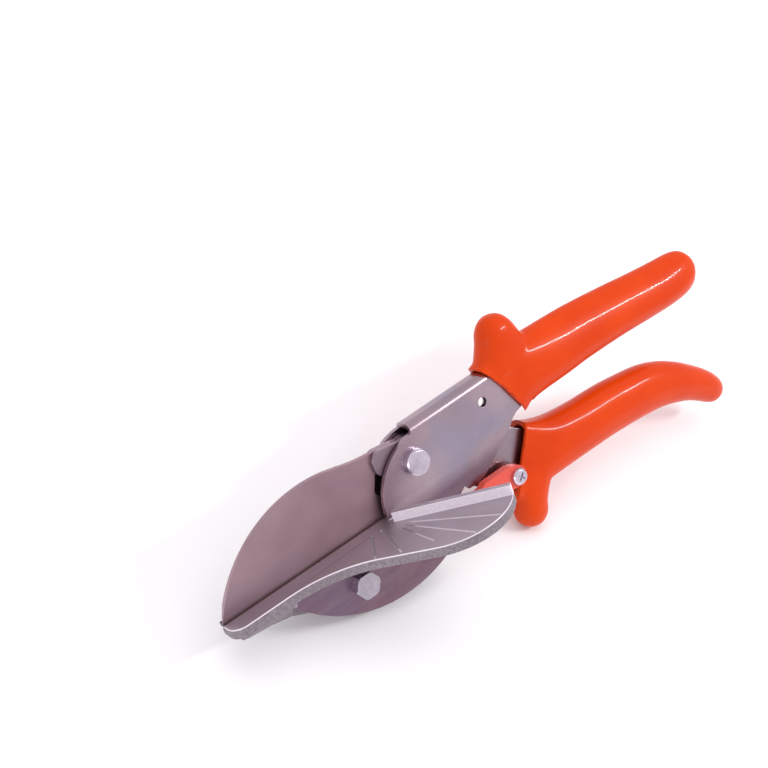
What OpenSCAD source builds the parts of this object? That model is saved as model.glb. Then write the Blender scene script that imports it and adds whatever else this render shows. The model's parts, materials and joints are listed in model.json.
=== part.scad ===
// Anvil mitre shear: a hand tool that cuts strips and profiles square or at an angle.
//
// The tool is drawn upright: +X runs along the cutting line towards the handles,
// +Z is square to the table, and the drawing's zero is on the cutting line, in the table's top
// face, beside the tip of the channel's tongue. at_rest() then moves the part's origin onto the
// near wing, above the table's bolt, and lays the whole tool back on the three points that it
// rests on, so that in the part's own frame +Z is up.

/* [Table] */
// Thickness of the table's wings
table_t = 4.2; // [3.5:0.1:5]
// Half the width of the table's narrow front end
nose_w = 11.4; // [10:0.2:13]
// Height of the mitre fences above the table
fence_h = 4; // [3:0.5:6]
// Thickness of the mitre fences
fence_t = 2.5; // [2:0.1:3.5]
// Width of the engraved angle lines
line_w = 0.5; // [0.3:0.1:0.8]
// Depth of the engraved angle lines
line_d = 0.3; // [0.2:0.05:0.5]

/* [Channel] */
// Overall width of the folded channel
channel_w = 10; // [9:0.5:12]
// Thickness of the channel's sheet
sheet_t = 2; // [1.6:0.2:2.4]
// Height of the channel's top above the table
channel_top = 30; // [29:0.5:32]
// Outer radius of the channel's fold
fold_r = 3.4; // [3:0.2:4.4]
// Diameter of the hang hole
hang_d = 4.2; // [3:0.2:5]

/* [Jaw] */
// Thickness of the blade
blade_t = 2; // [1.6:0.1:2.2]
// Thickness of the lower lever's sheet
leg_t = 1.6; // [1.2:0.1:1.6]
// Diameter of the pivot bolt's shoulder
pivot_d = 8; // [7:0.5:9]
// Diameter of the pivot bolt's head
pivot_head_d = 11; // [10:0.5:13]
// Opening of the jaws that is drawn, in degrees
jaw_open = 0; // [0:1:26]

/* [Grips] */
// Width of the grips at their middle
grip_w = 17.5; // [16:0.5:20]
// Width of the grips at their mouths
mouth_w = 14; // [13:0.5:15]

/* [Latch] */
// Thickness of the latch's arm
latch_t = 3.7; // [3:0.1:4]
// Turn of the latch that is drawn, in degrees, with its hook in the notch at 5
latch_turn = 0; // [-50:1:5]

/* [Resting pose] */
// Lean of the tool towards its far side, in degrees
lean = 34; // [0:0.5:40]
// Rise of the handles, in degrees
pitch = 7; // [0:0.5:15]

/* [Hidden] */
$fn = 96;

// Gap left between pieces that move past each other
slip = 0.05;

// Half widths of the layers, from the middle of the blade outwards
wall_out = channel_w / 2;
wall_in = wall_out - sheet_t;
blade_y = blade_t / 2;
leg_y = blade_y + leg_t;

// Places in the upright drawing, as [x, z]
pivot = [20.6, 14.4];
hang_hole = [59.1, 20.2];
hang_slot = [4.7, -3.7];
table_bolt_at = [-20, -17];
table_pin_at = [-48.6, -8.2];
latch_at = [61, -15.5];

// Place of the part's origin in the upright drawing
datum = [table_bolt_at[0], -10, 0];

// Channel
fold_front = 23.5;
fold_rear = 75;
fold_mid = 49;
fold_slope = 1.6;
tail_end = 172;
tail_drop = 5.5;
tip_r = 1.6;
slot_end = 6;
tongue_c = [26.8, -0.7];
tongue_r = 26.7;
tongue_x = tongue_c[0] - tongue_r;
belly_c = [-2, 26];
belly_r = 58.7;
belly_end = 20.3;
sweep_r = 29.4;
sweep_relief = 3;
notch_w = 5.4;
notch_d = 1.9;
notch_turn = -57;
hook_turn = -60.5;
relief_turn = -82.5;
hook_w = 3.2;

// Table
nose_tip = -75.8;
nose_corner = 6;
nose_back = -62.8;
waist_c = [-52, -56.1];
waist_turn = 46;
wing_c = [15.3, -25.6];
wing_r = 25.7;
fence_foot = 9.5;
fence_end = 33.9;
keel_y = wall_in - slip;
strip_w = 4.6;
strip_t = 1.6;
fan_c = [-1.2, -9.2];
fan_start = 7.6;
prow_end = -50;
pin_r = 1;

// Fasteners: M6 and M4, with across-flats sizes, head heights and clearance holes
m6_r = 3;
m6_hole = 3.3;
m6_flats = 10;
m6_head = 4.7;
m6_nut = 5;
m4_r = 2;
m4_flats = 7;
m4_nut = 3.2;
pivot_head_h = 3;
washer_t = 1;

// Bush and shims
pivot_r = pivot_d / 2;
bush_r = pivot_r + 1.5;
shim_t = wall_in - leg_y - slip;
shim_r = 8.5;

// Blade
back_c1 = [-25.2, -26];
back_r1 = 56.7;
back_c2 = [9.9, 102.6];
back_r2 = 76.5;
back_turn = 74.7;
edge_z = 0.05;
bevel_h = 6;

// Lever
ring_r = 10.5;
rivet_r = 2;
rivets = [[33, 16], [36, 5.5], [26, 2]];

// Spring
spring_x = 46;
spring_z0 = 12.5;
spring_z1 = 25;
spring_wire = 0.9;
spring_r = 2;
spring_turns = 8;
peg_r = 1.3;
peg_h = 2.4;

// Latch
latch_in = wall_out + 0.3;
latch_out = latch_in + latch_t;
latch_boss = 4.6;
latch_hub = 4.2;
latch_pocket = 6.2;
latch_nut_pocket = 5.9;
wave_t = 0.55;
screw_head_r = 3.6;
screw_head_h = 2.2;

// Points along an arc about c
function arc(c, r, a0, a1, n = 12) =
    [for (i = [0:n]) let (a = a0 + (a1 - a0) * i / n) c + r * [cos(a), sin(a)]];

// Height of the fold's top at x
function fold_z(x) = channel_top + (x - fold_mid) * tan(fold_slope);

// Extrudes an outline in X and Z from y0 to y1
module slab(y0, y1) {
    translate([0, y1, 0]) rotate([90, 0, 0]) linear_extrude(y1 - y0) children();
}

// Extrudes an outline in Y and Z from x0 to x1
module bar(x0, x1) {
    translate([x0, 0, 0]) rotate([90, 0, 90]) linear_extrude(x1 - x0) children();
}

// Cylinder along Y through the point at = [x, z], from y0 to y1
module rod(at, r, y0, y1) {
    translate([at[0], y1, at[1]]) rotate([90, 0, 0]) cylinder(r = r, h = y1 - y0);
}

// Cylinder along Y with a chamfer c at its y0 end
module chamfered_rod(at, r, y0, y1, c) {
    translate([at[0], y1, at[1]]) rotate([90, 0, 0])
        rotate_extrude() polygon([[0, 0], [r, 0], [r, y1 - y0 - c], [r - c, y1 - y0], [0, y1 - y0]]);
}

// Hexagonal prism along Y, measured across its flats
module hexagon(at, flats, y0, y1, turn = 0) {
    translate([at[0], y1, at[1]]) rotate([90, 0, 0]) rotate(turn)
        cylinder(r = flats / 2 / cos(30), h = y1 - y0, $fn = 6);
}

// Ring along Y
module ring(at, r_in, r_out, y0, y1) {
    difference() {
        rod(at, r_out, y0, y1);
        rod(at, r_in, y0 - 1, y1 + 1);
    }
}

// Moves the upright tool to its origin and lays it back on its three resting points
module at_rest() {
    rotate([0, -pitch, 0]) rotate([-lean, 0, 0]) translate(-datum) children();
}

// Turns the jaw pieces about the pivot
module on_jaw() {
    at_rest() translate([pivot[0], 0, pivot[1]]) rotate([0, jaw_open, 0])
        translate([-pivot[0], 0, -pivot[1]]) children();
}

// Turns the latch about its screw, on the jaw
module on_latch() {
    on_jaw() translate([latch_at[0], 0, latch_at[1]]) rotate([0, latch_turn, 0])
        translate([-latch_at[0], 0, -latch_at[1]]) children();
}

// ---- Channel ----

// Lower rear edge of a wall, from the belly's end to the grip
wall_rear = [[33.9, -11.8], [36.6, -9.9], [38.5, -9.6], [43.8, -9.6], [47, -9.1], [49.7, -8],
             [54.3, -5.1], [62.2, 0], [65.8, 2.3], [68.5, 4.3], [70.7, 6.4], [73, 7.8], [76, 8.6],
             [80, 11], [100, 12.5], [172, 13]];

// A wall's outline, with its hang hole drawn out by the given distance and direction
module wall_outline(slot = [0, 0]) {
    difference() {
        union() {
            // Tongue in front of the pivot, with its round front edge
            intersection() {
                translate(tongue_c) circle(r = tongue_r);
                translate([tongue_x, 0]) square([tongue_r, channel_top - fold_r]);
            }
            // Tip of the tongue, let into the table
            translate([tongue_x + tip_r, 0]) circle(r = tip_r);
            translate([tongue_x + tip_r, -tip_r]) square([slot_end - tongue_x, tip_r + 1]);
            // Side of the lever and its tail inside the grip
            polygon(concat([[slot_end, 0], [fold_front, 20],
                            [fold_front, fold_z(fold_front) - fold_r - 0.5],
                            [fold_rear, fold_z(fold_rear) - fold_r - 0.5], [fold_rear, channel_top],
                            [100, channel_top], [tail_end, channel_top - tail_drop]],
                           [for (i = [len(wall_rear) - 1:-1:0]) wall_rear[i]],
                           [[belly_end, -16], [slot_end, -16]]));
            // Belly, which clamps the table's keel
            intersection() {
                translate(belly_c) circle(r = belly_r);
                polygon([[-60, -table_t], [slot_end, -table_t], [slot_end, -10], [belly_end, -10],
                         [belly_end, -40], [-60, -40]]);
            }
        }
        // Round path of the latch's hook about the pivot, with a relief at its end
        intersection() {
            translate(pivot) difference() {
                circle(r = sweep_r + 8);
                circle(r = sweep_r);
            }
            polygon([[belly_end, -8], [36.6, -8], [36.6, -40], [belly_end, -40]]);
        }
        translate(pivot) rotate(relief_turn) translate([sweep_r - sweep_relief, -notch_w / 2])
            square([12, notch_w]);
        // Notch for the hook
        translate(pivot) rotate(notch_turn) translate([sweep_r - notch_d, -notch_w / 2])
            square([12, notch_w]);
        translate(pivot) circle(r = pivot_r);
        translate(hang_hole) circle(d = hang_d);
        if (norm(slot) > 0) translate(hang_hole) rotate(atan2(slot[1], slot[0])) {
            translate([0, -hang_d / 2]) square([norm(slot), hang_d]);
            translate([norm(slot), 0]) circle(d = hang_d);
        }
        translate(table_bolt_at) circle(r = m6_hole);
        translate(table_pin_at) circle(r = pin_r);
    }
}

module fold_section() {
    z0 = channel_top - fold_r;
    difference() {
        union() {
            for (s = [-1, 1]) translate([s * (wall_out - fold_r), z0]) intersection() {
                circle(r = fold_r);
                translate([s > 0 ? 0 : -fold_r, 0]) square(fold_r);
            }
            translate([-(wall_out - fold_r), z0]) square([2 * (wall_out - fold_r), fold_r]);
        }
        for (s = [-1, 1]) translate([s * (wall_out - fold_r), z0]) circle(r = fold_r - sheet_t);
        translate([-(wall_out - fold_r), z0 - 2])
            square([2 * (wall_out - fold_r), 2 + fold_r - sheet_t]);
    }
    // Straight feet, which run into the walls
    for (y = [-wall_out, wall_in]) translate([y, z0 - 1]) square([sheet_t, 1.01]);
}

module channel() {
    at_rest() color([0.62, 0.59, 0.62]) union() {
        slab(-wall_out, -wall_in) wall_outline();
        slab(wall_in, wall_out) wall_outline(hang_slot);
        // Shoulder at the front of the far wall
        slab(wall_in, wall_out)
            polygon([[9, 20.6], [12, 23.2], [14.5, 24.9], [17, 25.8], [20, 26.5], [24, 27],
                     [fold_front + 2, 20]]);
        intersection() {
            translate([fold_mid, 0, channel_top]) rotate([0, -fold_slope, 0])
                translate([-fold_mid, 0, -channel_top]) bar(fold_front - 3, fold_rear + 3)
                    fold_section();
            bar(fold_front, fold_rear) translate([-20, 0]) square([40, 60]);
        }
        // Square top of the tail, inside the grip
        slab(-wall_in - 0.1, wall_in + 0.1)
            polygon([[fold_rear, channel_top - sheet_t], [fold_rear, channel_top],
                     [100, channel_top], [tail_end, channel_top - tail_drop],
                     [tail_end, channel_top - tail_drop - sheet_t],
                     [100, channel_top - sheet_t]]);
    }
}

// ---- Table ----

// Outline of the near wing in X and Y, from the nose to the fence. The far wing has a rounder nose.
near_nose = concat([[nose_tip, 0]],
    arc([nose_tip + nose_corner, -nose_w + nose_corner], nose_corner, 180, 270, 8));
far_nose = arc([nose_back, 0], nose_w, 180, 270, 12);
function wing_outline(nose) = concat(nose,
    arc(waist_c, -waist_c[1] - nose_w, 90, 90 - waist_turn, 16),
    arc(wing_c, wing_r, 222, 315, 24),
    [[fence_end, -fence_foot - fence_end],
     [fence_end + fence_t / sqrt(2), -fence_foot - fence_end + fence_t / sqrt(2)],
     [0, -fence_foot + fence_t * sqrt(2)],
     [slot_end, -fence_foot + fence_t * sqrt(2)],
     [slot_end, 0]]);

keel_outline = [[nose_tip + 1.5, -table_t + 0.5], [nose_tip + 2.6, -5.4], [-70.5, -7],
                [-66, -8.1], [-60, -9.6], [-51, -12.2], [-42, -16.4], [-30, -23], [-12, -26], [0, -25],
                [slot_end - 0.5, -20], [slot_end - 0.5, -table_t + 0.5]];

module angle_line(from, angle, length) {
    translate([from[0], from[1], -line_d]) rotate(-angle) translate([0, -line_w / 2, 0])
        cube([length, line_w, 1]);
}

// Engraved lines and punched dots of the near wing
module wing_marks() {
    for (line = [[60, 46.6], [75, 42], [90, 28.6]])
        angle_line(fan_c + fan_start * [cos(line[0]), -sin(line[0])], line[0], line[1] - fan_start);
    for (dot = [[-6.4, -10, 105, 22], [-11, -9.4, 120, 17]]) {
        angle_line([dot[0], dot[1]], dot[2], dot[3]);
        translate([dot[0], dot[1], -0.5]) cylinder(r = 0.6, h = 1, $fn = 24);
    }
}

module anvil_table() {
    at_rest() color([0.66, 0.65, 0.66]) difference() {
        union() {
            // Wings
            translate([0, 0, -table_t]) linear_extrude(table_t) polygon(wing_outline(near_nose));
            mirror([0, 1, 0]) translate([0, 0, -table_t]) linear_extrude(table_t)
                polygon(wing_outline(far_nose));
            // Fences
            for (s = [0, 1]) mirror([0, s, 0]) translate([0, 0, -1]) linear_extrude(fence_h + 1)
                polygon([[0, -fence_foot], [fence_end, -fence_foot - fence_end],
                         [fence_end + fence_t / sqrt(2), -fence_foot - fence_end + fence_t / sqrt(2)],
                         [fence_t / sqrt(2), -fence_foot + fence_t / sqrt(2)]]);
            // Keel between the walls
            slab(-keel_y, keel_y) polygon(keel_outline);
            // Prow, where the keel widens under the nose
            intersection() {
                slab(-nose_w, nose_w)
                    polygon(concat([for (p = keel_outline) if (p[0] < prow_end) p],
                                   [[prow_end, -12.4], [prow_end, -table_t + 0.5]]));
                bar(nose_tip, prow_end) polygon([[-nose_w + 0.3, -table_t + 0.4], [-wall_out, -9.4],
                                                 [-keel_y, -13], [keel_y, -13], [wall_out, -9.4],
                                                 [nose_w - 0.3, -table_t + 0.4]]);
                translate([0, 0, -20]) linear_extrude(20)
                    polygon([[nose_tip + 0.4, -5.4], [-73.8, -9.3], [-69.8, -nose_w + 0.3],
                             [prow_end, -nose_w + 0.3], [prow_end, nose_w - 0.3],
                             [-62.8, nose_w - 0.3], [-68, 9.8], [-72, 6.2], [-73.6, 2]]);
            }
        }
        // Groove for the anvil strip, open at both ends
        translate([nose_tip - 1, -strip_w / 2, -strip_t])
            cube([slot_end - nose_tip + 2, strip_w, strip_t + 1]);
        for (s = [0, 1]) mirror([0, s, 0]) wing_marks();
        // Seats of the bellies' front ends in the prow
        for (y = [-wall_out - slip, wall_in - slip]) slab(y, y + sheet_t + 2 * slip)
            intersection() {
                translate(belly_c) circle(r = belly_r + slip);
                translate([-60, -table_t - 20]) square([20, 20]);
            }
        // Pockets for the tips of the tongue
        for (y = [-wall_out - slip, wall_in - slip]) slab(y, y + sheet_t + 2 * slip) {
            translate([tongue_x + tip_r, 0]) circle(r = tip_r + slip);
            translate([tongue_x + tip_r, -tip_r - slip]) square([slot_end, tip_r + 1]);
        }
        rod(table_bolt_at, m6_hole, -20, 20);
        rod(table_pin_at, pin_r, -20, 20);
    }
}

module anvil_strip() {
    at_rest() color([0.55, 0.38, 0.22])
        translate([nose_tip + 0.6, -strip_w / 2, -strip_t])
            cube([slot_end - nose_tip - 2.6, strip_w, strip_t]);
}

// ---- Fasteners of the table ----

module table_bolt() {
    at_rest() color([0.8, 0.8, 0.83]) union() {
        intersection() {
            hexagon(table_bolt_at, m6_flats, -wall_out - m6_head, -wall_out);
            chamfered_rod(table_bolt_at, m6_flats / 2 / cos(30), -wall_out - m6_head, -wall_out, 0.55);
        }
        rod(table_bolt_at, m6_r, -wall_out - 0.1, wall_out + 9);
    }
}

module table_washer() {
    at_rest() color([0.75, 0.75, 0.78])
        ring(table_bolt_at, m6_r + 0.15, 5.5, wall_out, wall_out + 1.6);
}

module table_nut() {
    at_rest() color([0.8, 0.8, 0.83]) difference() {
        hexagon(table_bolt_at, m6_flats, wall_out + 1.6, wall_out + 1.6 + m6_nut);
        rod(table_bolt_at, m6_r, wall_out, wall_out + 10);
    }
}

module table_pin() {
    at_rest() color([0.7, 0.7, 0.72]) rod(table_pin_at, pin_r, -wall_out - 0.2, wall_out + 0.2);
}

// ---- Pivot ----

module pivot_bolt() {
    at_rest() color([0.82, 0.82, 0.86]) union() {
        chamfered_rod(pivot, pivot_head_d / 2, -wall_out - pivot_head_h, -wall_out, 0.6);
        rod(pivot, pivot_r, -wall_out - 0.1, wall_out);
        rod(pivot, m6_r, wall_out - 0.1, wall_out + washer_t + m6_nut + 1.2);
    }
}

module pivot_washer() {
    at_rest() color([0.75, 0.75, 0.78])
        ring(pivot, m6_r + 0.2, 6.2, wall_out, wall_out + washer_t);
}

module pivot_nut() {
    at_rest() color([0.8, 0.8, 0.83]) difference() {
        hexagon(pivot, m6_flats, wall_out + washer_t, wall_out + washer_t + m6_nut, 15);
        rod(pivot, m6_r, wall_out, wall_out + 10);
    }
}

module pivot_bush() {
    on_jaw() color([0.72, 0.55, 0.3]) ring(pivot, pivot_r + slip, bush_r, -leg_y, leg_y);
}

module shim(y0) {
    on_jaw() color([0.75, 0.62, 0.35]) ring(pivot, pivot_r + slip, shim_r, y0, y0 + shim_t);
}

module shim_near() {
    shim(-leg_y - shim_t);
}

module shim_far() {
    shim(leg_y);
}

// ---- Jaw ----

module blade_outline() {
    difference() {
        polygon(concat(
            [[14, edge_z], [-75.6, edge_z]],
            arc(back_c1, back_r1, 152.6, back_turn, 30),
            arc(back_c2, back_r2, back_turn + 180, 268.5, 14),
            arc(pivot, ring_r - 0.4, 100, 38, 8),
            [[39, 12], [41, 4], [36, -1], [24, -3], [16, 0.8]]));
        // Notch above the heel
        polygon([[4.1, 17.5], [2.7, 14.2], [1.2, 11.3], [1.4, 9.8], [2.8, 7.9], [5, 6.8], [14, 6],
                 [12, 10], [9.5, 12.5], [6.6, 15.6]]);
        // Clearance behind the heel
        polygon([[14, -4], [14, 4.2], [15, 3.2], [20, 1], [20, -4]]);
        translate(pivot) circle(r = bush_r);
        for (at = rivets) translate(at) circle(r = rivet_r);
    }
}

module blade() {
    on_jaw() color([0.6, 0.57, 0.58]) difference() {
        slab(-blade_y, blade_y) blade_outline();
        // Bevel ground on the far side of the edge
        bar(-90, 14) polygon([[-blade_y + 0.25, -1], [-blade_y + 0.25, edge_z],
                              [blade_y, bevel_h], [blade_y + 1, bevel_h], [blade_y + 1, -1]]);
    }
}

// Side outline of the lower lever
lever_outline = concat(
    arc([7.8, 19.2], 3.8, 250, 180, 6),
    arc([7.9, 22.1], 3.9, 180, 80, 8),
    [[18.5, 24.7]],
    arc(pivot, ring_r, 88, 38, 8),
    [[40, 12.5], [52, 7.5], [70.3, 1.4], [76, -2.5], [95, -8], [152, -16], [155, -19],
     [155, -24], [152, -27], [95, -26.5], [70, -25.5], [56, -22], [40, -8.5]],
    arc(pivot, ring_r, -58, -150, 12));

module lower_lever() {
    on_jaw() color([0.6, 0.57, 0.6]) difference() {
        union() {
            for (y = [-leg_y, blade_y]) slab(y, y + leg_t) polygon(lever_outline);
            // Fold along the bottom, behind the blade
            slab(-blade_y - 0.1, blade_y + 0.1)
                polygon([[60.2, -23.1], [70, -25.5], [95, -26.5], [152, -27], [152, -25.4],
                         [95, -24.9], [70, -23.9], [60.2, -21.5]]);
        }
        rod(pivot, bush_r, -10, 10);
        rod(latch_at, m4_r, -10, 10);
        for (at = rivets) rod(at, rivet_r, -10, 10);
    }
}

module blade_rivets() {
    on_jaw() color([0.65, 0.65, 0.66]) for (at = rivets) rod(at, rivet_r, -leg_y, leg_y);
}

// ---- Spring ----

module spring_cup() {
    at_rest() color([0.2, 0.2, 0.22]) union() {
        translate([spring_x, 0, spring_z1]) cylinder(r = wall_in - 0.2, h = 2);
        translate([spring_x, 0, spring_z1]) cylinder(r = 0.9, h = fold_z(spring_x) - sheet_t - spring_z1 - slip);
        translate([spring_x, 0, spring_z1 - peg_h]) cylinder(r = peg_r, h = peg_h + 0.1);
    }
}

module spring_saddle() {
    on_jaw() color([0.2, 0.2, 0.22]) union() {
        slab(-leg_y, leg_y) polygon([[43, 11.25], [49, 8.75], [49, spring_z0], [43, spring_z0]]);
        slab(-blade_y + slip, blade_y - slip) polygon([[44, 11], [48, 9.4], [48, 5.5], [44, 6.5]]);
        translate([spring_x, 0, spring_z0 - 0.1]) cylinder(r = peg_r, h = peg_h + 0.1);
    }
}

// Corner points of one ring of the wire, at turn t of the coil
function wire_ring(t, sides) =
    let (a = 360 * t, r = spring_wire / 2,
         z0 = spring_z0 + r + 0.02, z1 = spring_z1 - r - 0.02,
         z = z0 + (z1 - z0) * t / spring_turns)
    [for (k = [0:sides - 1]) let (b = 360 * k / sides, d = spring_r + r * cos(b))
        [spring_x + d * cos(a), d * sin(a), z + r * sin(b)]];

module opening_spring() {
    sides = 8;
    steps = spring_turns * 14;
    rings = [for (i = [0:steps]) wire_ring(i / 14, sides)];
    at_rest() color([0.5, 0.5, 0.52]) polyhedron(
        points = [for (r = rings) each r],
        faces = concat(
            [[for (k = [0:sides - 1]) k]],
            [for (i = [0:steps - 1]) for (k = [0:sides - 1])
                [i * sides + k, (i + 1) * sides + k,
                 (i + 1) * sides + (k + 1) % sides, i * sides + (k + 1) % sides]],
            [[for (k = [sides - 1:-1:0]) steps * sides + k]]));
}

// ---- Grips ----

// Ball of a grip's body: radius r in X and Z, half width w in Y
module ball(at, r, w) {
    translate([at[0], 0, at[1]]) scale([1, w / r, 1]) sphere(r = r, $fn = 32);
}

module upper_grip() {
    w = grip_w / 2;
    at_rest() color([0.95, 0.33, 0.1]) difference() {
        union() {
            hull() {
                slab(-3, 3) polygon([[61.8, 30.9], [63.6, 33.4], [66, 33.6], [81, 8]]);
                slab(-mouth_w / 2, mouth_w / 2)
                    polygon([[64, 28], [66.5, 30.4], [81.5, 8.2], [80, 6.2], [78.4, 6.4]]);
                ball([96, 21.3], 12.9, w);
            }
            hull() {
                ball([96, 21.3], 12.9, w);
                ball([118, 22.1], 12.1, w);
            }
            hull() {
                ball([118, 22.1], 12.1, w);
                ball([158, 20], 10.8, w * 0.97);
            }
            hull() {
                ball([158, 20], 10.8, w * 0.97);
                ball([182.5, 19.3], 10, w * 0.9);
            }
            hull() {
                ball([78.7, 40.8], 8.2, 6.8);
                ball([80, 30], 12, 7.3);
            }
        }
        // Bed of the channel's tail
        slab(-wall_out, wall_out)
            polygon([[55, 5], [55, fold_z(55)], [fold_rear, fold_z(fold_rear)], [100, channel_top],
                     [tail_end, channel_top - tail_drop], [tail_end, 13], [100, 12.5], [80, 11],
                     [76, 8.6], [70, 3]]);
    }
}

module lower_grip() {
    w = grip_w / 2;
    on_jaw() color([0.95, 0.33, 0.1]) difference() {
        union() {
            hull() {
                slab(-mouth_w / 2, mouth_w / 2)
                    polygon([[74.6, -0.6], [76, -0.2], [82, -2.4], [86, -26], [70, -28], [62.6, -26],
                             [62.6, -21], [65.4, -14.2]]);
                ball([92, -16.8], 11.9, w);
            }
            hull() {
                ball([92, -16.8], 11.9, w);
                ball([120, -18], 11.4, w);
            }
            hull() {
                ball([120, -18], 11.4, w);
                ball([146, -20.8], 10.6, w * 0.97);
            }
            hull() {
                ball([146, -20.8], 10.6, w * 0.97);
                ball([161, -25.6], 9.1, w * 0.92);
            }
            hull() {
                ball([161, -25.6], 9.1, w * 0.92);
                ball([174, -32.5], 7.4, w * 0.85);
            }
            hull() {
                ball([174, -32.5], 7.4, w * 0.85);
                ball([184, -40.8], 6.3, w * 0.76);
            }
            hull() {
                ball([67.6, -38], 7.6, 6.6);
                ball([72, -27], 8.6, 7);
            }
        }
        // Bed of the lever
        slab(-leg_y, leg_y) polygon([[55, 10], [70.3, 1.4], [76, -2.5], [95, -8], [152, -16],
                                     [155, -19], [155, -24], [152, -27], [95, -26.5], [70, -25.5],
                                     [56, -22], [50, -10]]);
        // Pockets for the latch and for its nut
        rod(latch_at, latch_pocket, -20, -leg_y);
        rod(latch_at, latch_nut_pocket, leg_y, 20);
    }
}

// ---- Latch ----

latch_outline = concat(
    arc([38.4, -13.3], 1.9, 225, 110, 6),
    [[42.6, -10.9], [44.6, -9.5], [58.4, -9.5]],
    arc(latch_at, latch_boss, 70, -110, 16),
    [[52, -19.2], [46.5, -17.2], [41, -15.6]]);

module latch() {
    on_latch() color([0.95, 0.36, 0.25]) difference() {
        union() {
            slab(-latch_out, -latch_in) polygon(latch_outline);
            // Hub, down to the wave washer
            rod(latch_at, latch_hub, -latch_in - 0.1, -leg_y - wave_t - slip);
            // Hook, in the plane of the near wall
            slab(-latch_in - 0.1, -wall_in - 0.2) hook_outline();
            // Ribs for the thumb
            for (i = [0:3]) rod([45 + 2.3 * i, -15.9 - 0.9 * i], 0.55, -latch_out - 0.35, -latch_in);
        }
        rod(latch_at, m4_r + slip, -20, 20);
    }
}

// The hook's top follows a circle about the pivot, just outside the wall
module hook_outline() {
    intersection() {
        translate(pivot) difference() {
            circle(r = sweep_r + 3.6);
            circle(r = sweep_r + 0.3);
        }
        translate(pivot) rotate(hook_turn) translate([sweep_r - 3, -hook_w / 2]) square([10, hook_w]);
    }
}

module latch_screw() {
    on_jaw() color([0.8, 0.8, 0.83]) difference() {
        union() {
            chamfered_rod(latch_at, screw_head_r, -latch_out - slip - screw_head_h,
                          -latch_out - slip, 0.7);
            rod(latch_at, m4_r, -latch_out - 0.1, leg_y + m4_nut + 1);
        }
        // Cross recess
        for (a = [45, 135]) translate([latch_at[0], -latch_out - screw_head_h - 1, latch_at[1]])
            rotate([0, a, 0]) translate([-1.9, 0, -0.4]) cube([3.8, 2.4, 0.8]);
    }
}

module latch_washer() {
    on_jaw() color([0.6, 0.6, 0.62])
        ring(latch_at, m4_r + 0.1, 4, -leg_y - wave_t, -leg_y);
}

module latch_spacer() {
    on_jaw() color([0.6, 0.6, 0.62]) ring(latch_at, m4_r + 0.1, 4, -blade_y, blade_y);
}

module latch_nut() {
    on_jaw() color([0.8, 0.8, 0.83]) difference() {
        hexagon(latch_at, m4_flats, leg_y, leg_y + m4_nut, 10);
        rod(latch_at, m4_r, leg_y - 1, leg_y + 10);
    }
}

channel();
anvil_table();
anvil_strip();
table_bolt();
table_washer();
table_nut();
table_pin();
upper_grip();
pivot_bolt();
pivot_washer();
pivot_nut();
spring_cup();
opening_spring();
blade();
lower_lever();
blade_rivets();
pivot_bush();
shim_near();
shim_far();
spring_saddle();
lower_grip();
latch_screw();
latch_washer();
latch_spacer();
latch_nut();
latch();
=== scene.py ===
"""Looks of an anvil mitre shear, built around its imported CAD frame.

Shapes are drawn in millimetres in the upright axes of the tool: x along it towards the handles,
y across it towards its far side, z square to the table. upright() lays them at rest.
"""

import json
import math

import bmesh
import bpy
from mathutils import Matrix, Vector


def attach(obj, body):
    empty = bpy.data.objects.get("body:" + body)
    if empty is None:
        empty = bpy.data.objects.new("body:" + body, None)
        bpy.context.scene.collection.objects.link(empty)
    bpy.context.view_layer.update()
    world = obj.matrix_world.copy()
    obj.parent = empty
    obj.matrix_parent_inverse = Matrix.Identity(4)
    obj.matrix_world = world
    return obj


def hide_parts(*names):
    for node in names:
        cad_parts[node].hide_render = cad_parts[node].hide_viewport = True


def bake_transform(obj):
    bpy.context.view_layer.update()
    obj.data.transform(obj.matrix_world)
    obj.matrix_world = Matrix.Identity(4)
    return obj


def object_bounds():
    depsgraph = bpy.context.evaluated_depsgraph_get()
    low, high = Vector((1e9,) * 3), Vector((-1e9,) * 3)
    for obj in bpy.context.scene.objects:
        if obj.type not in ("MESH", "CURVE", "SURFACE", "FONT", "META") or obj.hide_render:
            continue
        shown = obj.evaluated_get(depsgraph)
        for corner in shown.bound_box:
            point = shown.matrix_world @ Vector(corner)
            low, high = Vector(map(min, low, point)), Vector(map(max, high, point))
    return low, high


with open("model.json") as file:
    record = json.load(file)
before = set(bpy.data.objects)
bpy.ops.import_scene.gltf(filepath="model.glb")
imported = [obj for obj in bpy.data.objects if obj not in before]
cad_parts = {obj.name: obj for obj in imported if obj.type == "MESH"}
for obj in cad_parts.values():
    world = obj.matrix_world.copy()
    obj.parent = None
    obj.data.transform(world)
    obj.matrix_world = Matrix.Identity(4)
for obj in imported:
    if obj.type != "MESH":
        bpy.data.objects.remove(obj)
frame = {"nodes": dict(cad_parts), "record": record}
cad_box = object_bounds()

MM = 0.001
record = frame["record"]
mounts = {m["name"]: m for m in record["mounts"]}
joints = {j["name"]: j for j in record["behaviour"]["joints"]}

# Upright axes of the tool, from the table's face and the main hinge. Their zero is on the cutting
# line, and the table's mount is at TABLE_MARK in them.
UP = Vector(mounts["work_table"]["axis"]).normalized()
ACROSS = Vector(joints["jaw_hinge"]["axis"]).normalized()
ALONG = ACROSS.cross(UP).normalized()
TABLE_MARK = Vector((-20.0, -10.0, 0.0))
UPRIGHT = Matrix((ALONG, ACROSS, UP)).transposed().to_4x4()
UPRIGHT.translation = Vector(mounts["work_table"]["pos_m"]) - UPRIGHT @ TABLE_MARK * MM


def upright(point_mm):
    """The place in the row frame of a point given in mm in the upright axes."""
    return UPRIGHT @ (Vector(point_mm) * MM)


def in_upright(point):
    """A point of the row frame, in mm in the upright axes."""
    return UPRIGHT.inverted() @ Vector(point) / MM


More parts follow.
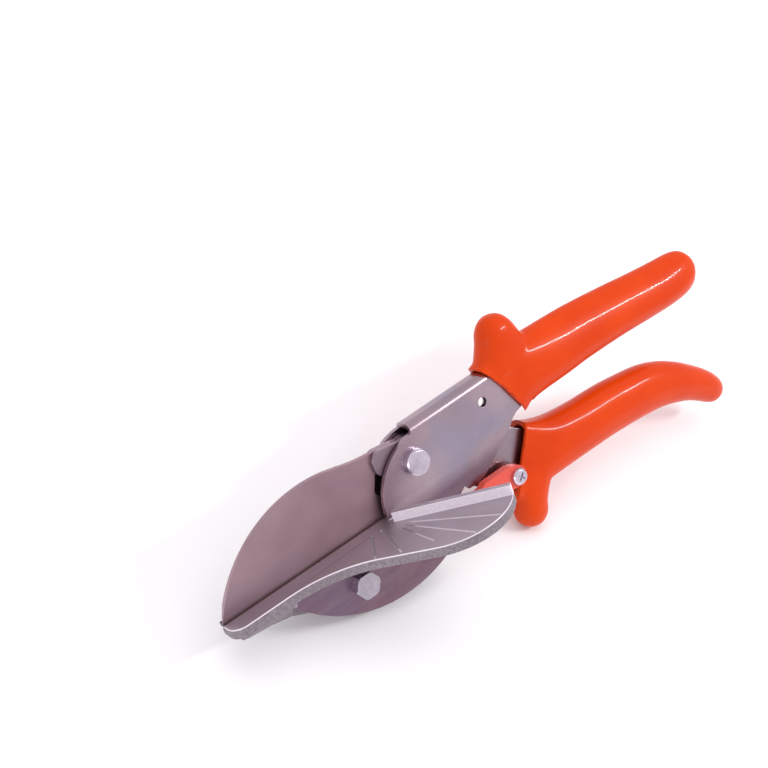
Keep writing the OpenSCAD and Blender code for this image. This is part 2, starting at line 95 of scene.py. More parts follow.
LATCH_PIVOT = in_upright(joints["latch_hinge"]["pos_m"])


# ---- Materials ----

# Heights over the table's face between which its zones run, in mm
ZONE_SPAN = (-8, 8)
STEEL_ROUNDING = 0.2


def triple(value):
    """The same number three times: a grey, or one scale for all axes."""
    return (value, value, value)


class Shader:
    """Builds one node material on a Principled shader."""

    def __init__(self, name, **constants):
        self.material = bpy.data.materials.new(name)
        self.material.use_nodes = True
        self.tree = self.material.node_tree
        self.nodes = self.tree.nodes
        self.shader = self.nodes["Principled BSDF"]
        for socket, value in constants.items():
            self.set(socket.replace("_", " "), value)

    def set(self, socket, value):
        """Gives a socket of the shader a plain value or a colour."""
        if isinstance(value, tuple) and len(value) == 3:
            value = (*value, 1.0)
        self.shader.inputs[socket].default_value = value

    def link(self, a, b):
        self.tree.links.new(a, b)

    def feed(self, socket, output):
        """Links an output to a socket of the shader."""
        self.link(output, self.shader.inputs[socket])

    def add(self, kind, **settings):
        node = self.nodes.new(kind)
        for key, value in settings.items():
            setattr(node, key, value)
        return node

    def coordinates(self, scale):
        """The object's own coordinates in the upright axes; scale is one number or one per axis."""
        source = self.add("ShaderNodeTexCoord")
        turn = self.add("ShaderNodeMapping")
        turn.inputs["Rotation"].default_value = UPRIGHT.to_3x3().inverted().to_euler()
        size = self.add("ShaderNodeMapping")
        size.inputs["Scale"].default_value = triple(scale) if isinstance(scale, float) else scale
        self.link(source.outputs["Object"], turn.inputs["Vector"])
        self.link(turn.outputs["Vector"], size.inputs["Vector"])
        return size.outputs["Vector"]

    def noise(self, scale, detail=3.0, roughness=0.55, distortion=0.0):
        """Fractal noise; scale is its features per metre, one number or one per upright axis."""
        node = self.add("ShaderNodeTexNoise")
        node.inputs["Scale"].default_value = 1.0
        node.inputs["Detail"].default_value = detail
        node.inputs["Roughness"].default_value = roughness
        node.inputs["Distortion"].default_value = distortion
        self.link(self.coordinates(scale), node.inputs["Vector"])
        return node.outputs["Fac"]

    def ramp(self, source, stops):
        """A colour ramp over the source; stops are (place, colour) or (place, value)."""
        node = self.add("ShaderNodeValToRGB")
        elements = node.color_ramp.elements
        while len(elements) < len(stops):
            elements.new(0.5)
        for element, (place, colour) in zip(elements, stops):
            element.position = place
            element.color = (*(colour if isinstance(colour, tuple) else triple(colour)), 1.0)
        self.link(source, node.inputs["Fac"])
        return node.outputs["Color"]

    def mottle(self, socket, scale, detail, roughness, stops):
        """Feeds a socket of the shader with noise through a ramp."""
        self.feed(socket, self.ramp(self.noise(scale, detail, roughness), stops))

    def mix(self, factor, a, b, blend="MIX"):
        """Mixes two colours; each of factor, a and b is an output or a plain value."""
        node = self.add("ShaderNodeMix", data_type="RGBA", blend_type=blend)
        for socket, value in (("Factor", factor), ("A", a), ("B", b)):
            target = [s for s in node.inputs if s.name == socket and s.enabled][0]
            if hasattr(value, "is_output"):
                self.link(value, target)
            else:
                target.default_value = value if isinstance(value, float) else (*value, 1.0)
        return [s for s in node.outputs if s.enabled][0]

    def bump(self, height, strength, distance_mm):
        """Roughens the surface, on top of any rounding of its edges."""
        node = self.add("ShaderNodeBump")
        node.inputs["Strength"].default_value = strength
        node.inputs["Distance"].default_value = distance_mm * MM
        self.link(height, node.inputs["Height"])
        before = self.shader.inputs["Normal"].links
        if before:
            self.link(before[0].from_socket, node.inputs["Normal"])
        self.feed("Normal", node.outputs["Normal"])

    def height(self):
        """Height over the table's face, in metres."""
        source = self.add("ShaderNodeTexCoord")
        dot = self.add("ShaderNodeVectorMath", operation="DOT_PRODUCT")
        dot.inputs[1].default_value = UP
        self.link(source.outputs["Object"], dot.inputs[0])
        return dot.outputs["Value"]

    def near(self, point):
        """Distance from a point given in mm in the upright axes, in metres."""
        source = self.add("ShaderNodeTexCoord")
        distance = self.add("ShaderNodeVectorMath", operation="DISTANCE")
        distance.inputs[1].default_value = upright(point)
        self.link(source.outputs["Object"], distance.inputs[0])
        return distance.outputs["Value"]

    def zone(self, length, low, high, stops):
        """A ramp over a length between low and high mm; stops are (mm, value)."""
        share = self.add("ShaderNodeMapRange")
        share.inputs["From Min"].default_value = low * MM
        share.inputs["From Max"].default_value = high * MM
        self.link(length, share.inputs["Value"])
        return self.ramp(share.outputs["Result"],
                         [((mm - low) / (high - low), value) for mm, value in stops])

    def round_edges(self, radius_mm):
        """Softens the shading across sharp edges."""
        node = self.add("ShaderNodeBevel", samples=6)
        node.inputs["Radius"].default_value = radius_mm * MM
        self.feed("Normal", node.outputs["Normal"])


def steel(name, dark, light, tint, roughness, grain=(60.0, 500.0, 500.0), scratch=0.05, under_table_shade=None):
    """Worn steel: two greys and a tint in soft clouds, with fine grain that is scratch deep.

    Its last argument is painted shade: a darker tint multiplied into what lies under the table's face,
    which the table shades.
    """
    s = Shader(name, Metallic=1.0)
    s.round_edges(STEEL_ROUNDING)
    clouds = s.noise((38.0, 60.0, 60.0), 3.0, 0.5, 0.3)
    patches = s.ramp(clouds, [(0.3, dark), (0.7, light)])
    stains = s.noise((30.0, 42.0, 42.0), 2.0, 0.5, 0.6)
    colour = s.mix(s.ramp(stains, [(0.45, 0.0), (0.7, 0.6)]), patches, tint)
    if under_table_shade:
        # Painted shade: darker under the table's face, where the table shades the wall
        shade_share = s.zone(s.height(), *ZONE_SPAN, [(-4.0, 1.0), (2.0, 0.0)])
        colour = s.mix(shade_share, colour, under_table_shade, "MULTIPLY")
    grains = s.noise(grain, 2.0, 0.6)
    s.feed("Base Color", s.mix(s.ramp(grains, [(0.3, 0.0), (0.7, 0.12)]), colour, light))
    wear = s.noise((60.0, 90.0, 90.0), 3.0, 0.6, 0.2)
    s.feed("Roughness", s.ramp(wear, [(0.25, roughness - 0.05), (0.75, roughness + 0.05)]))
    s.bump(grains, scratch, 0.01)
    return s.material


def table_steel(name, face, face_light, rim, fence, mark_and_highlight):
    """The table: a ground top face, rough sides, light fences, and painted highlights on its edges in the
    same bright colour as its engraving.

    The zones follow the height over the table's face, in mm.
    """
    s = Shader(name)
    clouds = s.ramp(s.noise((30.0, 45.0, 60.0), 3.0, 0.5, 0.4), [(0.3, face), (0.7, face_light)])
    grains = s.noise((420.0, 90.0, 400.0), 3.0, 0.6)
    top = s.mix(s.ramp(grains, [(0.35, 0.0), (0.7, 0.3)]), clouds, face_light)
    speckle = s.noise(1100.0, 3.0, 0.7)
    speckled = s.ramp(speckle, [(0.35, 0.0), (0.65, 0.18)])
    height = s.height()
    in_fence = s.zone(height, *ZONE_SPAN, [(0.03, 0.0), (0.08, 1.0), (3.9, 1.0), (3.96, 0.0)])
    in_rim = s.zone(height, *ZONE_SPAN, [(-0.08, 1.0), (-0.03, 0.0)])
    # Painted highlights at the face's edge, at the fences' feet and along their tops; the engraving is
    # drawn in the same bright colour
    highlight_and_engraving = s.zone(height, *ZONE_SPAN, [
        (-0.6, 0.0), (-0.35, 1.0), (-0.06, 1.0), (-0.03, 0.0),
        (0.03, 0.0), (0.06, 1.0), (0.3, 1.0), (0.5, 0.0),
        (3.5, 0.0), (3.7, 1.0), (3.9, 1.0), (3.96, 0.0),
    ])
    # The two engraved lines beside the punched dots are shallower and less bright
    faint = s.zone(s.near((-9.0, -16.0, 0.0)), 8, 16, [(11.0, 0.25), (13.0, 1.0)])
    colour = s.mix(in_rim, top, s.mix(speckled, rim, mark_and_highlight))
    colour = s.mix(in_fence, colour, s.mix(speckled, fence, rim))
    # Painted highlights and the engraving, in the bright mark colour
    s.feed("Base Color", s.mix(s.mix(faint, triple(0.0), highlight_and_engraving), colour, mark_and_highlight))
    s.feed("Metallic", s.mix(in_fence, s.mix(in_rim, triple(0.95), triple(0.5)), triple(0.1)))
    rough_face = s.ramp(grains, [(0.3, 0.36), (0.7, 0.48)])
    s.feed("Roughness", s.mix(in_fence, s.mix(in_rim, rough_face, triple(0.5)), triple(0.6)))
    s.bump(s.mix(in_rim, grains, speckle), 0.06, 0.02)
    return s.material


def plated(name, colour, roughness=0.26):
    """Zinc-plated steel, with a slightly cloudy face."""
    s = Shader(name, Metallic=1.0)
    dull = tuple(0.85 * c for c in colour)
    s.mottle("Base Color", 260.0, 3.0, 0.5, [(0.3, dull), (0.7, colour)])
    s.mottle("Roughness", 600.0, 3.0, 0.6, [(0.3, roughness - 0.05), (0.7, roughness + 0.08)])
    s.bump(s.noise(500.0, 2.0, 0.5), 0.05, 0.01)
    return s.material


def moulded(name, colour, deep, roughness, edge_mm=0.0):
    """Glossy moulded plastic, slightly deeper in colour in soft clouds, with a very fine grain."""
    s = Shader(name, Metallic=0.0, IOR=1.45, Subsurface_Weight=0.03, Coat_Weight=0.2, Coat_Roughness=0.07,
               Specular_IOR_Level=0.1)
    if edge_mm:
        s.round_edges(edge_mm)
    s.shader.inputs["Subsurface Radius"].default_value = (0.004, 0.0015, 0.0006)
    s.mottle("Base Color", (40.0, 50.0, 50.0), 3.0, 0.5, [(0.35, deep), (0.65, colour)])
    s.mottle("Roughness", 300.0, 4.0, 0.6, [(0.3, roughness - 0.04), (0.7, roughness + 0.06)])
    s.bump(s.noise((220.0, 320.0, 320.0), 2.0, 0.5), 0.1, 0.03)
    return s.material


def plain_part(name, colour, roughness, metallic=0.0):
    """A small inner part: one colour with fine mottling."""
    s = Shader(name, Metallic=metallic)
    dark = tuple(0.75 * c for c in colour)
    s.mottle("Base Color", 500.0, 3.0, 0.6, [(0.3, dark), (0.7, colour)])
    s.mottle("Roughness", 700.0, 3.0, 0.6, [(0.3, roughness - 0.08), (0.7, roughness + 0.08)])
    return s.material


# The channel's last tint is painted shade under the table's face
CHANNEL_STEEL = steel("channel_steel", dark=(0.40, 0.30, 0.34), light=(0.50, 0.40, 0.44),
                      tint=(0.33, 0.31, 0.43), roughness=0.27, scratch=0.02, under_table_shade=(0.50, 0.39, 0.44))
TABLE_STEEL = table_steel("table_steel", face=(0.45, 0.385, 0.425), face_light=(0.50, 0.45, 0.49),
                          rim=(0.17, 0.14, 0.16), fence=(0.82, 0.75, 0.82), mark_and_highlight=(0.80, 0.73, 0.80))
BLADE_STEEL = steel("blade_steel", dark=(0.35, 0.235, 0.26), light=(0.44, 0.31, 0.34),
                    tint=(0.36, 0.26, 0.32), roughness=0.42, grain=(400.0, 400.0, 60.0), scratch=0.04)
LEVER_STEEL = steel("lever_steel", dark=(0.31, 0.23, 0.27), light=(0.40, 0.33, 0.37),
                    tint=(0.28, 0.26, 0.37), roughness=0.3)
ZINC = plated("zinc_plate", (0.74, 0.68, 0.78))
BOLT_ZINC = plated("zinc_bolt", (0.52, 0.48, 0.54))
ZINC_DULL = plated("zinc_dull", (0.46, 0.44, 0.49), roughness=0.36)
GRIP_ORANGE = moulded("grip_orange", colour=(0.64, 0.050, 0.001), deep=(0.59, 0.041, 0.001),
                      roughness=0.32)
LATCH_ORANGE = moulded("latch_orange", colour=(0.72, 0.115, 0.09), deep=(0.66, 0.09, 0.065),
                       roughness=0.3, edge_mm=0.3)
STRIP_BROWN = plain_part("strip_brown", (0.065, 0.032, 0.028), roughness=0.5)
BLACK_PLASTIC = plain_part("black_plastic", (0.02, 0.02, 0.022), roughness=0.45)
BRONZE = plain_part("bronze", (0.48, 0.30, 0.13), roughness=0.3, metallic=1.0)
SPRING_STEEL = plain_part("spring_steel", (0.20, 0.19, 0.21), roughness=0.3, metallic=1.0)
PLAIN_STEEL = plain_part("plain_steel", (0.42, 0.38, 0.41), roughness=0.34, metallic=1.0)


# ---- Mesh helpers ----

# Edges sharper than this, in degrees, are shaded sharp
SHARP_ANGLE = 40.0
LIP_ANGLE = 60.0
ALL_SMOOTH = 180.0
LOFT_STEPS = 6
LOFT_SIDES = 48
TURNED_SIDES = 64
# Grips are melted on a grid of this size in mm, then smoothed this many times
GRIP_VOXEL = 0.8
GRIP_SMOOTHING = 7


def to_object(name, bm, material):
    """Makes an object from a bmesh drawn in mm in the upright axes, laid at rest."""
    bmesh.ops.recalc_face_normals(bm, faces=bm.faces)
    mesh = bpy.data.meshes.new(name)
    bm.to_mesh(mesh)
    bm.free()
    mesh.transform(UPRIGHT @ Matrix.Scale(MM, 4))
    mesh.update()
    obj = bpy.data.objects.new(name, mesh)
    bpy.context.scene.collection.objects.link(obj)
    mesh.materials.append(material)
    shade(mesh, SHARP_ANGLE)
    return obj


def shade(mesh, angle):
    """Shades a mesh smooth, except across edges sharper than the angle in degrees."""
    for polygon in mesh.polygons:
        polygon.use_smooth = True
    mesh.set_sharp_from_angle(angle=math.radians(angle))


def apply_modifiers(obj, angle=SHARP_ANGLE):
    """Replaces the object's mesh by its evaluated one and clears its modifiers."""
    bpy.context.view_layer.update()
    graph = bpy.context.evaluated_depsgraph_get()
    mesh = bpy.data.meshes.new_from_object(obj.evaluated_get(graph))
    old = obj.data
    obj.modifiers.clear()
    obj.data = mesh
    mesh.name = old.name
    bpy.data.meshes.remove(old)
    shade(mesh, angle)


def modifier(obj, kind, **settings):
    """Adds a modifier with these settings."""
    m = obj.modifiers.new(kind.lower(), kind)
    for key, value in settings.items():
        setattr(m, key, value)


def spread(keys, steps):
    """Catmull-Rom interpolation through tuples of numbers."""
    out = []
    for i in range(len(keys) - 1):
        p0, p1, p2, p3 = (keys[max(0, min(len(keys) - 1, i + k))] for k in (-1, 0, 1, 2))
        for j in range(steps):
            t = j / steps
            out.append(tuple(
                0.5 * (2 * b + (c - a) * t + (2 * a - 5 * b + 4 * c - d) * t * t
                       + (3 * b - a - 3 * c + d) * t ** 3)
                for a, b, c, d in zip(p0, p1, p2, p3)))
    out.append(tuple(keys[-1]))
    return out


def signed_power(value, power):
    """The power of a number's size, with the number's sign."""
    return math.copysign(abs(value) ** power, value)


def loft(bm, keys):
    """Adds a closed body through oval sections.

    Each key is (top x, top z, bottom x, bottom z, half width, squareness, egg): squareness 2 is an
    ellipse, and a positive egg narrows the top.
    """
    rings = []
    for tx, tz, bx, bz, half, square, egg in spread(keys, LOFT_STEPS):
        centre = Vector(((tx + bx) / 2, 0, (tz + bz) / 2))
        rise = Vector(((tx - bx) / 2, 0, (tz - bz) / 2))
        ring = []
        for k in range(LOFT_SIDES):
            a = 2 * math.pi * k / LOFT_SIDES
            lift = signed_power(math.cos(a), 2 / square)
            side = signed_power(math.sin(a), 2 / square) * half * (1 - egg * lift)
            ring.append(bm.verts.new(centre + rise * lift + Vector((0, side, 0))))
        rings.append(ring)
    bridge(bm, rings)


def bridge(bm, rings):
    """Adds a closed body through rings of vertices with equal counts."""
    count = len(rings[0])
    for a, b in zip(rings, rings[1:]):
        for k in range(count):
            bm.faces.new((a[k], a[(k + 1) % count], b[(k + 1) % count], b[k]))
    bm.faces.new(rings[0])
    bm.faces.new(list(reversed(rings[-1])))


def prism(bm, outline, y0, y1):
    """Adds a flat body from y0 to y1 over an outline of (x, z) points."""
    near = [bm.verts.new((x, y0, z)) for x, z in outline]
    far = [bm.verts.new((x, y1, z)) for x, z in outline]
    bm.faces.new(near)
    bm.faces.new(list(reversed(far)))
    for i in range(len(outline)):
        j = (i + 1) % len(outline)
        bm.faces.new((near[i], near[j], far[j], far[i]))


def turned(bm, centre, profile):
    """Adds a body of revolution about the y axis through centre; profile holds (radius, y)."""
    rings = []
    for radius, y in profile:
        if radius == 0:
            rings.append([bm.verts.new((centre[0], y, centre[1]))])
            continue
        ring = []
        for k in range(TURNED_SIDES):
            a = 2 * math.pi * k / TURNED_SIDES
            x = centre[0] + radius * math.cos(a)
            z = centre[1] + radius * math.sin(a)
            ring.append(bm.verts.new((x, y, z)))
        rings.append(ring)
    for a, b in zip(rings, rings[1:]):
        for k in range(TURNED_SIDES):
            corners = [a[k % len(a)], a[(k + 1) % len(a)], b[(k + 1) % len(b)], b[k % len(b)]]
            unique = list(dict.fromkeys(corners))
            if len(unique) > 2:
                bm.faces.new(unique)


def arc(centre, radius, start, end, steps):
    """Points on a circle from one angle to another, in degrees."""
    points = []
    for i in range(steps + 1):
        a = math.radians(start + (end - start) * i / steps)
        points.append((centre[0] + radius * math.cos(a), centre[1] + radius * math.sin(a)))
    return points


def flat_cutter(name, outline, half_width):
    """A tool for cut(): a flat body over an outline, centred on the middle plane."""
    bm = bmesh.new()
    prism(bm, outline, -half_width, half_width)
    return to_object(name, bm, PLAIN_STEEL)


def round_cutter(name, centre, radius, y0, y1):
    """A tool for cut(): a cylinder from y0 to y1 about a centre (x, z)."""
    bm = bmesh.new()
    turned(bm, centre, [(0, y0), (radius, y0), (radius, y1), (0, y1)])
    return to_object(name, bm, PLAIN_STEEL)


def cut(obj, tools):
    """Cuts the tools out of the object and deletes them."""
    for tool in tools:
        modifier(obj, "BOOLEAN", operation="DIFFERENCE", solver="EXACT", object=tool)
    apply_modifiers(obj)
    for tool in tools:
        mesh = tool.data
        bpy.data.objects.remove(tool)
        bpy.data.meshes.remove(mesh)


def fuse(obj):
    """Melts overlapping bodies into one skin with soft inner corners."""
    modifier(obj, "REMESH", mode="VOXEL", voxel_size=GRIP_VOXEL * MM, use_smooth_shade=True)
    modifier(obj, "SMOOTH", factor=0.5, iterations=GRIP_SMOOTHING)
    apply_modifiers(obj, ALL_SMOOTH)


# ---- Grips ----

LIP_ROUNDING = 0.35
CHANNEL_HALF_WIDTH = 5
FOLD_RADIUS = 3.4
FOLD_STEPS = 8
LEVER_HALF_WIDTH = 2.6
SLOT_GAP = 0.35
MOUTH_HALF_WIDTH = 4.4
# Half the width of the cutters that shape a grip's front end, which is more than the grip's own
FRONT_HALF_WIDTH = 14


def fold_top(x):
    """Height of the channel's fold, which rises gently towards the handles."""
    start_x = 49
    start_height = 30
    slope = math.radians(1.6)
    return start_height + (x - start_x) * math.tan(slope)


def channel_cutter():
    """The socket of the channel, with the channel's rounded top."""
    start = 50.0
    end = 84.0
    depth = 32.0
    half_width = CHANNEL_HALF_WIDTH + SLOT_GAP
    corner = FOLD_RADIUS + SLOT_GAP
    section = ([(-half_width, -depth)]
               + arc((corner - half_width, -corner), corner, 180, 90, FOLD_STEPS)
               + arc((half_width - corner, -corner), corner, 90, 0, FOLD_STEPS)
               + [(half_width, -depth)])
    bm = bmesh.new()
    rings = [[bm.verts.new((x, y, fold_top(x) + SLOT_GAP + z)) for y, z in section]
             for x in (start, end)]
    bridge(bm, rings)
    return to_object("socket", bm, PLAIN_STEEL)


def upper_grip():
    """The upper grip, with its thumb stop, its slanted mouth and the socket for the channel."""
    bm = bmesh.new()
    loft(bm, [
        (60.0, 31.9, 76.0, 4.0, 6.9, 4.2, 0.03),
        (64.0, 32.6, 79.5, 5.2, 7.0, 4.0, 0.03),
        (68.5, 34.6, 82.5, 6.4, 7.2, 3.3, 0.03),
        (78.0, 36.0, 88.0, 7.4, 8.2, 2.7, 0.03),
        (90.0, 35.5, 95.0, 7.9, 8.8, 2.4, 0.14),
        (104.0, 35.5, 106.0, 8.3, 8.9, 2.25, 0.26),
        (119.0, 35.0, 119.0, 8.9, 8.9, 2.2, 0.26),
        (140.0, 33.3, 140.0, 8.9, 8.8, 2.2, 0.26),
        (158.0, 31.5, 158.0, 8.2, 8.6, 2.2, 0.26),
        (172.0, 30.4, 172.0, 7.9, 8.4, 2.2, 0.26),
        (182.0, 29.7, 182.0, 8.2, 8.0, 2.15, 0.16),
        (188.0, 28.3, 188.0, 9.8, 7.1, 2.1, 0.08),
        (191.6, 25.3, 191.6, 12.8, 5.2, 2.0, 0.0),
        (193.2, 22.2, 193.2, 15.8, 2.8, 2.0, 0.0),
        (193.7, 19.6, 193.7, 19.0, 0.3, 2.0, 0.0),
    ])
    # Thumb stop
    loft(bm, [
        (62.0, 26.0, 94.0, 26.0, 7.9, 2.3, 0.0),
        (64.2, 31.0, 92.0, 31.0, 7.8, 2.3, 0.0),
        (66.9, 36.0, 90.2, 36.0, 7.5, 2.3, 0.0),
        (69.0, 40.0, 88.6, 40.0, 7.3, 2.25, 0.0),
        (70.1, 43.5, 87.2, 43.5, 6.8, 2.2, 0.0),
        (72.2, 46.8, 85.0, 46.8, 5.5, 2.1, 0.0),
        (75.2, 48.9, 82.2, 48.9, 3.4, 2.0, 0.0),
        (78.4, 49.5, 78.8, 49.5, 0.3, 2.0, 0.0),
    ])
    grip = to_object("upper_grip_moulding", bm, GRIP_ORANGE)
    fuse(grip)
    front = flat_cutter("front", [
        (61.4, 36.0), (62.9, 33.0), (65.0, 29.6), (70.4, 21.0), (76.2, 9.4), (78.5, 2.0),
        (50.0, 2.0), (50.0, 36.0),
    ], FRONT_HALF_WIDTH)
    cut(grip, [front, channel_cutter()])
    round_lips(grip)
    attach(grip, "frame")
    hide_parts("upper_grip")


def round_lips(grip):
    """Rounds the sharp edges that the cuts left."""
    modifier(grip, "BEVEL", width=LIP_ROUNDING * MM, segments=3, limit_method="ANGLE",
             angle_limit=math.radians(50), use_clamp_overlap=False)
    apply_modifiers(grip, LIP_ANGLE)


def lower_grip():
    """The lower grip, with its finger guard, its slot for the lever and the latch screw's pockets."""
    bm = bmesh.new()
    loft(bm, [
        (67.0, 3.0, 54.0, -26.5, 5.6, 6.0, 0.0),
        (71.5, 2.2, 60.0, -28.0, 5.7, 6.0, 0.0),
        (75.5, 1.3, 66.0, -28.9, 6.2, 5.0, 0.0),
        (80.5, -0.9, 74.0, -29.4, 7.2, 3.6, 0.0),
        (86.5, -2.9, 83.0, -29.6, 8.2, 2.7, 0.0),
        (94.0, -4.4, 92.5, -29.7, 8.8, 2.4, 0.0),
        (106.0, -5.6, 105.0, -30.0, 8.9, 2.25, 0.0),
        (121.0, -6.2, 120.0, -30.4, 8.9, 2.2, 0.0),
        (135.0, -7.7, 133.5, -31.4, 8.75, 2.2, 0.0),
        (148.0, -9.8, 144.5, -32.6, 8.5, 2.2, 0.0),
        (159.0, -13.6, 152.5, -34.0, 8.25, 2.15, 0.0),
        (168.5, -18.8, 160.5, -36.4, 7.95, 2.15, 0.0),
        (177.2, -25.0, 168.5, -39.6, 7.5, 2.1, 0.0),
        (185.0, -31.5, 175.4, -43.6, 6.9, 2.1, 0.0),
        (190.1, -37.4, 180.2, -46.9, 6.1, 2.05, 0.0),
        (191.9, -41.8, 183.8, -48.6, 4.7, 2.0, 0.0),
        (191.4, -44.9, 187.4, -48.3, 2.5, 2.0, 0.0),
        (190.4, -46.6, 189.6, -47.2, 0.3, 2.0, 0.0),
    ])
    # Finger guard
    loft(bm, [
        (61.0, -20.0, 86.5, -20.0, 6.7, 2.4, 0.0),
        (61.0, -26.0, 82.5, -27.0, 7.0, 2.3, 0.0),
        (60.4, -31.0, 78.6, -32.0, 7.0, 2.2, 0.0),
        (59.6, -36.0, 75.9, -36.5, 6.8, 2.2, 0.0),
        (59.6, -39.4, 75.1, -39.6, 6.5, 2.15, 0.0),
        (60.9, -42.4, 73.8, -42.5, 5.5, 2.1, 0.0),
        (63.6, -44.7, 71.2, -44.7, 3.5, 2.0, 0.0),
        (67.2, -45.5, 67.6, -45.5, 0.3, 2.0, 0.0),
    ])
    grip = to_object("lower_grip_moulding", bm, GRIP_ORANGE)
    fuse(grip)
    front = flat_cutter("front", [
        (76.4, 8.0), (76.0, 1.0), (71.3, -6.4), (66.8, -13.2), (63.0, -20.0), (60.8, -26.0),
        (60.0, -30.0), (45.0, -30.0), (45.0, 8.0),
    ], FRONT_HALF_WIDTH)
    socket = flat_cutter("socket", [
        (50.0, 12.0), (70.4, 1.9), (76.2, -2.0), (84.0, -4.6), (84.0, -26.0), (70.0, -26.0),
        (50.0, -22.0),
    ], LEVER_HALF_WIDTH + SLOT_GAP)
    screw_at = (LATCH_PIVOT.x, LATCH_PIVOT.z)
    outside = 20
    pocket = round_cutter("pocket", screw_at, radius=5.0, y0=-outside, y1=-LEVER_HALF_WIDTH)
    nut_pocket = round_cutter("nut_pocket", screw_at, radius=5.9, y0=LEVER_HALF_WIDTH, y1=outside)
    # The mouth is wider than the lever for its first few millimetres, which leaves a thin lip
    mouth = flat_cutter("mouth", [
        (50.0, 8.0), (72.0, 0.6), (78.4, -1.4), (75.9, -6.4), (70.8, -14.0), (67.6, -19.4),
        (50.0, -19.4),
    ], MOUTH_HALF_WIDTH)
    cut(grip, [front, socket, pocket, nut_pocket, mouth])
    round_lips(grip)
    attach(grip, "jaw")
    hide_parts("lower_grip")


upper_grip()
lower_grip()


# ---- CAD pieces with their own finish ----

# Edges sharper than EDGE_ANGLE are rounded or kept sharp. Those flatter than SEAM_ANGLE are seams
# inside a face.
EDGE_ANGLE = math.radians(30.0)
SEAM_ANGLE = math.radians(0.6)
WELD_DISTANCE = 0.0005 * MM


def finish_node(name, material, bevel_mm):
    """Gives a CAD node its material, and rounds its sharp edges or keeps them sharp."""
    obj = frame["nodes"][name]
    obj.data.materials.clear()
    obj.data.materials.append(material)
    for polygon in obj.data.polygons:
        polygon.use_smooth = True
    modifier(obj, "WELD", merge_threshold=WELD_DISTANCE)
    if bevel_mm:
        modifier(obj, "DECIMATE", decimate_type="DISSOLVE", angle_limit=SEAM_ANGLE)
        modifier(obj, "BEVEL", width=bevel_mm * MM, segments=3, limit_method="ANGLE",
                 angle_limit=EDGE_ANGLE, use_clamp_overlap=False, harden_normals=True)
    else:
        modifier(obj, "EDGE_SPLIT", split_angle=EDGE_ANGLE, use_edge_sharp=False)
    modifier(obj, "WEIGHTED_NORMAL", keep_sharp=True)


# Each node's material and the rounding of its edges in mm
FINISHES = {
    "channel": (CHANNEL_STEEL, 0.0),
    "anvil_table": (TABLE_STEEL, 0.25),
    "anvil_strip": (STRIP_BROWN, 0.0),
    "table_bolt": (BOLT_ZINC, 0.12),
    "table_washer": (ZINC_DULL, 0.15),
    "table_nut": (ZINC_DULL, 0.15),
    "table_pin": (PLAIN_STEEL, 0.1),
    "pivot_bolt": (ZINC, 0.15),
    "pivot_washer": (ZINC_DULL, 0.15),
    "pivot_nut": (ZINC_DULL, 0.15),
    "spring_cup": (BLACK_PLASTIC, 0.1),
    "blade": (BLADE_STEEL, 0.12),
    "lower_lever": (LEVER_STEEL, 0.2),
    "blade_rivets": (PLAIN_STEEL, 0.0),
    "pivot_bush": (BRONZE, 0.1),
    "shim_near": (BRONZE, 0.05),
    "shim_far": (BRONZE, 0.05),
    "spring_saddle": (BLACK_PLASTIC, 0.1),
    "latch_screw": (ZINC, 0.1),
    "latch_washer": (SPRING_STEEL, 0.0),
    "latch_spacer": (PLAIN_STEEL, 0.1),
    "latch_nut": (ZINC_DULL, 0.1),
    "latch": (LATCH_ORANGE, 0.0),
}
for node, (material, bevel) in FINISHES.items():
    finish_node(node, material, bevel)


# ---- Opening spring ----


def coil_height(share):
    """Share of the spring's height at a share of its coils, which lie closer at both ends."""
    end_share = 0.12
    end_pitch = 0.7
    if share <= end_share:
        return share * end_pitch
    if share < 1 - end_share:
        return share
    return 1 - (1 - share) * end_pitch


def opening_spring():
    """A helical wire spring between its cup and its saddle."""
    x = 46
    low = 12.5
    high = 25.0
    radius = 2.0
    wire = 0.45
    turns = 8
    steps = 40
    sides = 12
    bm = bmesh.new()
    rings = []
    for i in range(turns * steps + 1):
        a = 2 * math.pi * i / steps
        z = low + wire + (high - low - 2 * wire) * coil_height(i / (turns * steps))
        ring = []
        for k in range(sides):
            b = 2 * math.pi * k / sides
            d = radius + wire * math.cos(b)
            ring.append(bm.verts.new((x + d * math.cos(a), d * math.sin(a), z + wire * math.sin(b))))
        rings.append(ring)
    bridge(bm, rings)
    spring = to_object("opening_spring_coil", bm, SPRING_STEEL)
    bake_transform(spring)
    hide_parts("opening_spring")


opening_spring()


# ---- Stage, camera and light ----

FLOOR_HEIGHT = cad_box[0][2]
FLOOR_GREY = 0.92

# The camera's aim and distance are in mm, the aim in the upright axes. Its angles are in degrees:
# round the tool, over the floor, and about its own line of sight.
CAMERA_AIM = (38.82, 30.72, 34.62)
CAMERA_DISTANCE = 482.3
CAMERA_AZIMUTH = -46.78
CAMERA_ELEVATION = 43.77
CAMERA_ROLL = 9.42
LENS = 53.9

STUDIO_COLOUR = (0.80, 0.76, 0.80)


def floor():
    size = 3.0
    mesh = bpy.data.meshes.new("floor")
    mesh.from_pydata([(-size, -size, 0), (size, -size, 0), (size, size, 0), (-size, size, 0)], [],
                     [(0, 1, 2, 3)])
    obj = bpy.data.objects.new("floor", mesh)
    obj.location.z = FLOOR_HEIGHT
    bpy.context.scene.collection.objects.link(obj)
    s = Shader("floor_white", Base_Color=triple(FLOOR_GREY), Roughness=0.9, Specular_IOR_Level=0.1)
    mesh.materials.append(s.material)


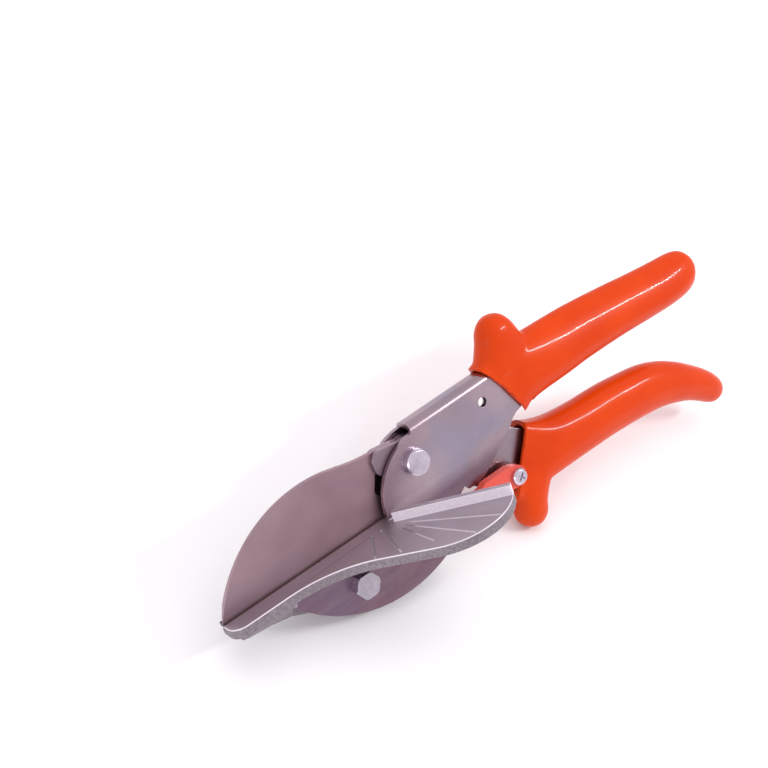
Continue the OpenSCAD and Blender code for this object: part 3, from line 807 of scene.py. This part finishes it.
def camera():
    aim = upright(CAMERA_AIM)
    azimuth = math.radians(CAMERA_AZIMUTH)
    elevation = math.radians(CAMERA_ELEVATION)
    roll = math.radians(CAMERA_ROLL)
    towards = Vector((math.sin(azimuth) * math.cos(elevation), -math.cos(azimuth) * math.cos(elevation),
                      math.sin(elevation)))
    data = bpy.data.cameras.new("camera")
    data.lens = LENS
    data.sensor_width = 36
    data.clip_start = 0.01
    obj = bpy.data.objects.new("camera", data)
    bpy.context.scene.collection.objects.link(obj)
    turn = towards.to_track_quat("Z", "Y").to_matrix() @ Matrix.Rotation(roll, 3, "Z")
    obj.matrix_world = Matrix.Translation(aim + towards * (CAMERA_DISTANCE * MM)) @ turn.to_4x4()
    bpy.context.scene.camera = obj


def area_light(name, place, aim, size, power):
    """A rectangular light whose first side lies along the tool."""
    data = bpy.data.lights.new(name, "AREA")
    data.shape = "RECTANGLE"
    data.size, data.size_y = size
    data.energy = power
    obj = bpy.data.objects.new(name, data)
    bpy.context.scene.collection.objects.link(obj)
    back = (Vector(place) - Vector(aim)).normalized()
    side = (ALONG - back * ALONG.dot(back)).normalized()
    turn = Matrix((side, back.cross(side), back)).transposed()
    obj.matrix_world = Matrix.Translation(place) @ turn.to_4x4()
    return obj


def lighting():
    """A pale room, a large soft light from above and two narrow ones that the steel reflects."""
    world = bpy.data.worlds.new("studio")
    bpy.context.scene.world = world
    world.use_nodes = True
    background = world.node_tree.nodes["Background"]
    background.inputs["Color"].default_value = (*STUDIO_COLOUR, 1)
    background.inputs["Strength"].default_value = 1.0
    softbox = area_light("top_softbox", place=(0.25, 0.25, 0.95), aim=(0.05, 0.03, 0.0), size=(1.3, 1.3),
                         power=5)
    softbox.visible_glossy = False
    area_light("window", place=upright((635, -680, 160)), aim=upright((135, 0, 20)), size=(0.34, 0.03),
               power=3.0)
    area_light("side_window", place=upright((-540, -340, 40)), aim=upright((60, 0, 25)),
               size=(0.04, 0.16), power=0.8)


floor()
camera()
lighting()
bpy.context.scene.view_settings.view_transform = "Standard"
